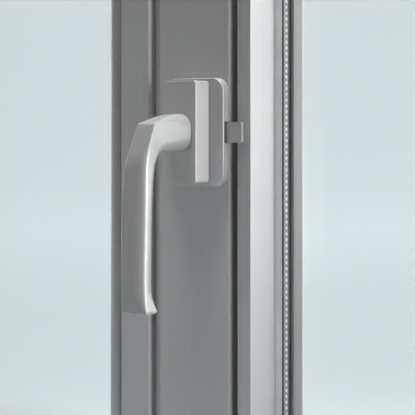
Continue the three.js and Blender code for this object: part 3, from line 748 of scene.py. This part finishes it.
def makeRosette():
    shape = rosetteShape
    left, right, high = shape["slotLeft"], shape["slotRight"], shape["slotHigh"]
    slot = [(left, -high), (right, -high), (right, high), (left, high)]
    through = shape["plateCut"]
    rings = roundedRings(shape["baseFrom"], shape["baseTop"], shape["baseEdge"], shape["joint"], plateAt)
    makeShell("rosette_lower_plate", "rosette_base", rings,
              [(slot, through), (circleOutline(shape["baseBore"]), through)])
    rings = roundedRings(shape["housingFrom"], shape["top"], shape["joint"], shape["edge"], plateAt)
    makeShell("rosette_upper_plate", "rosette_housing", rings,
              [(slot, (through[0], shape["slotTop"])), (circleOutline(shape["housingBore"]), through)])
    rings = roundedRings(shape["coverFrom"], shape["coverFront"],
                         shape["coverBackEdge"], shape["coverEdge"], coverAt)
    makeShell("rosette_cap", "rosette_cover", rings,
              [(circleOutline(shape["coverBore"]), shape["coverCut"])])


makeRosette()
print("rosette made")

# The spacer bars between the panes, in mm. Outside the metal band, the face towards the glass is drawn
# near-black with the sealant finish.
spacerShape = {
    "barWidth": 6.5, "pitch": 3.8, "slotLong": 2.2, "slotWide": 1.89, "slant": 0.2, "slotDeep": 0.2,
    "metalFrom": 0.07, "metalTo": 0.74, "rowAt": 0.5,  # shares of the bar's depth
    "weld": 0.01,
}


def spacerDepth(low, high, share):
    return low.y + (high.y - low.y) * spacerShape[share]


def addSlottedFace(quad, start, end, low, high):
    # the face towards the glass: one slanted slot in each pitch, with walls and a floor
    along = (end - start).normalized()
    outward = Vector((0, 1, 0)).cross(along)  # into the bar
    length = (end - start).length
    count = round(length / (spacerShape["pitch"] * mm))
    pitch = length / count
    longHalf, wideHalf = spacerShape["slotLong"] * mm / 2, spacerShape["slotWide"] * mm / 2
    tilt = spacerShape["slant"]
    sink = outward * (spacerShape["slotDeep"] * mm)
    rowY = spacerDepth(low, high, "rowAt")
    metalFrom, metalTo = spacerDepth(low, high, "metalFrom"), spacerDepth(low, high, "metalTo")
    near, far = Vector((0, metalFrom, 0)), Vector((0, metalTo, 0))
    for i in range(count):
        a, b = start + along * (pitch * i), start + along * (pitch * (i + 1))
        centre = (a + b) / 2
        slot = []
        for u, v in ((-1, -1), (1, -1), (1, 1), (-1, 1)):
            step = u * wideHalf + v * longHalf * math.sin(tilt)
            slot.append(centre + along * step + Vector((0, rowY + v * longHalf * math.cos(tilt), 0)))
        cell = [a + near, b + near, b + far, a + far]
        for k in range(4):
            following = (k + 1) % 4
            quad(cell[k], cell[following], slot[following], slot[k])
            quad(slot[k], slot[following], slot[following] + sink, slot[k] + sink)
        quad(*[p + sink for p in slot], holeFloor=True)
    for yFrom, yTo in ((low.y, metalFrom), (metalTo, high.y)):
        near, far = Vector((0, yFrom, 0)), Vector((0, yTo, 0))
        quad(start + near, end + near, end + far, start + far)


def makeSpacer(name, node, body):
    low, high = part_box(node)
    width = spacerShape["barWidth"] * mm
    vertices, faces, holeFloors = [], [], []

    def quad(*points, holeFloor=False):
        start = len(vertices)
        vertices.extend(points)
        if holeFloor:
            holeFloors.append(len(faces))
        faces.append(tuple(range(start, start + 4)))

    # corners of the outer and inner rectangles, going round
    outer = [(low.x, low.z), (high.x, low.z), (high.x, high.z), (low.x, high.z)]
    inner = [(low.x + width, low.z + width), (high.x - width, low.z + width),
             (high.x - width, high.z - width), (low.x + width, high.z - width)]
    for k in range(4):
        (ox, oz), (px, pz) = outer[k], outer[(k + 1) % 4]
        (ix, iz), (jx, jz) = inner[k], inner[(k + 1) % 4]
        quad(Vector((ox, low.y, oz)), Vector((px, low.y, pz)),
             Vector((px, high.y, pz)), Vector((ox, high.y, oz)))
        for y in (low.y, high.y):
            quad(Vector((ox, y, oz)), Vector((px, y, pz)), Vector((jx, y, jz)), Vector((ix, y, iz)))
        addSlottedFace(quad, Vector((ix, 0, iz)), Vector((jx, 0, jz)), low, high)
    bar = newPiece(name, vertices, faces, "millSpacer", body, smooth=False)
    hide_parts(node)
    bar.data.materials.append(finishes["sealant"])
    bar.data.materials.append(finishes["desiccant"])
    metalFrom, metalTo = spacerDepth(low, high, "metalFrom"), spacerDepth(low, high, "metalTo")
    for polygon in bar.data.polygons:
        if not metalFrom <= polygon.center.y <= metalTo:
            polygon.material_index = 1
    for index in holeFloors:
        bar.data.polygons[index].material_index = 2  # the drying agent shows in the holes
    weld = bar.modifiers.new("weld", "WELD")
    weld.merge_threshold = spacerShape["weld"] * mm


makeSpacer("fixed_spacer_bar", "fixed_spacer", "frame")
makeSpacer("sash_spacer_bar", "sash_spacer", "sash")
print("spacers made")

# The inner gaskets: a ring with a lip that slopes down from the bead to the pane, in mm.
gasketShape = {"hidden": 4.05, "lip": 3.75, "edge": 0.25, "tipFrom": 1.6, "tipTo": 0.8}


def makeGasket(name, node, body):
    low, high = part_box(node)
    near, far = low.y, high.y
    reach, lip, edge = (gasketShape[key] * mm for key in ("hidden", "lip", "edge"))
    tipFrom, tipTo = (far - gasketShape[key] * edge for key in ("tipFrom", "tipTo"))
    profile = [(0, near), (reach, near), (reach + lip - edge, tipFrom), (reach + lip, tipTo),
               (reach + lip, far), (0, far)]
    vertices, faces = [], []
    for inward, y in profile:
        vertices += [(low.x + inward, y, low.z + inward), (high.x - inward, y, low.z + inward),
                     (high.x - inward, y, high.z - inward), (low.x + inward, y, high.z - inward)]
    for row in range(len(profile)):
        following = (row + 1) % len(profile)
        for i in range(4):
            j = (i + 1) % 4
            faces.append((4 * row + i, 4 * row + j, 4 * following + j, 4 * following + i))
    ring = newPiece(name, vertices, faces, "greyRubber", body, smooth=False)
    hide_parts(node)


makeGasket("fixed_lip_gasket", "fixed_inner_gasket", "frame")
makeGasket("sash_lip_gasket", "sash_inner_gasket", "sash")
print("gaskets made")

# A pale floor that stays flat indoors, and outdoors sweeps up into a wall that glows like an even sky.
stageSetup = {
    "colour": (0.62, 0.64, 0.66), "rough": 0.9,
    "flatTo": 1.0, "sweepFrom": 3.5, "sweepRadius": 2.5, "sweepSteps": 12, "reach": 9.0, "sides": 48,
    "riseRate": 3, "riseFrom": 0.5,
    "glowColour": (0.93, 0.98, 1.0), "glowStrength": 0.56, "glow": {"From": 0.06, "To": 99.0, "Slope": 2.2},
    "airColour": (0.93, 0.94, 0.95), "airStrength": 0.035,
}


def makeFloorMaterial():
    material, tree, shader = startMaterial("paleFloor")
    shader.inputs["Base Color"].default_value = (*stageSetup["colour"], 1)
    shader.inputs["Roughness"].default_value = stageSetup["rough"]
    outdoors = useGroup(tree, "band", stageSetup["glow"])
    glow = mixColour(tree, outdoors.outputs["Mask"], (0, 0, 0), stageSetup["glowColour"])
    tree.links.new(glow, shader.inputs["Emission Color"])
    shader.inputs["Emission Strength"].default_value = stageSetup["glowStrength"]
    return material


def makeFloor():
    setup = stageSetup
    start, radius, sides = setup["sweepFrom"], setup["sweepRadius"], setup["sides"]
    profile = [(setup["flatTo"], 0.0)]
    for i in range(setup["sweepSteps"] + 1):
        angle = math.pi / 2 * i / setup["sweepSteps"]
        profile.append((start + radius * math.sin(angle), radius * (1 - math.cos(angle))))
    profile.append((start + radius, setup["reach"]))
    vertices, faces = [(0, 0, 0)], []
    for r, z in profile:
        for i in range(sides):
            angle = 2 * math.pi * i / sides
            risen = max(0.0, min(1.0, setup["riseRate"] * math.sin(angle) + setup["riseFrom"]))
            vertices.append((r * math.cos(angle), r * math.sin(angle), z * risen))
    for i in range(sides):
        faces.append((0, 1 + i, 1 + (i + 1) % sides))
    for row in range(len(profile) - 1):
        for i in range(sides):
            a = 1 + row * sides + i
            b = 1 + row * sides + (i + 1) % sides
            faces.append((a, a + sides, b + sides, b))
    mesh = bpy.data.meshes.new("floor")
    mesh.from_pydata(vertices, [], faces)
    for polygon in mesh.polygons:
        polygon.use_smooth = True
    mesh.materials.append(makeFloorMaterial())
    linkMesh("floor", mesh)


# Each lamp's place and aim are from the spindle, in metres, and its spread is in degrees.
lamps = {
    "sidePanel": {"place": (2.4, -0.18, -0.2), "aim": (0, 0, -0.05),
                  "size": (0.7, 2.4), "power": 17.5, "spread": 70},
    "outdoorPanel": {"place": (2.2, 1.9, -0.3), "aim": (0, 0, -0.15),
                     "size": (1.6, 2.4), "power": 10, "spread": 70},
    "leftPanel": {"place": (-2.2, -0.2, 0.0), "aim": (0, 0, 0),
                  "size": (0.4, 2.0), "power": 2.2, "spread": 70},
    "topSoft": {"place": (0.1, -0.12, 1.0), "aim": (0, -0.03, 0),
                "size": (0.9, 0.2), "power": 2.7, "spread": 60},
    "handleSheen": {"place": (-0.93, -1.15, -0.17), "aim": (0, 0, -0.06),
                    "size": (0.28, 0.5), "power": 0.66, "spread": 180},
    "backdropWash": {"place": (-1.4, 1.8, 2.6), "aim": (-3.6, 4.6, 1.0),
                     "size": (2.6, 1.0), "power": 16, "spread": 180},
}


def makeLamps():
    for name, spec in lamps.items():
        data = bpy.data.lights.new(name, "AREA")
        data.shape = "RECTANGLE"
        data.size, data.size_y = spec["size"]
        data.energy = spec["power"]
        data.spread = math.radians(spec["spread"])
        place, aim = Vector(spec["place"]), Vector(spec["aim"])
        lamp = bpy.data.objects.new(name, data)
        lamp.location = place + spindle
        lamp.rotation_mode = "QUATERNION"
        lamp.rotation_quaternion = (aim - place).to_track_quat("-Z", "Y")
        bpy.context.scene.collection.objects.link(lamp)


def makeAir():
    world = bpy.data.worlds.new("studio")
    bpy.context.scene.world = world
    world.use_nodes = True
    air = world.node_tree.nodes["Background"]
    air.inputs["Color"].default_value = (*stageSetup["airColour"], 1)
    air.inputs["Strength"].default_value = stageSetup["airStrength"]
    bpy.context.scene.view_settings.view_transform = "Standard"
    bpy.context.scene.view_settings.look = "None"


makeFloor()
makeLamps()
makeAir()
print("stage made")
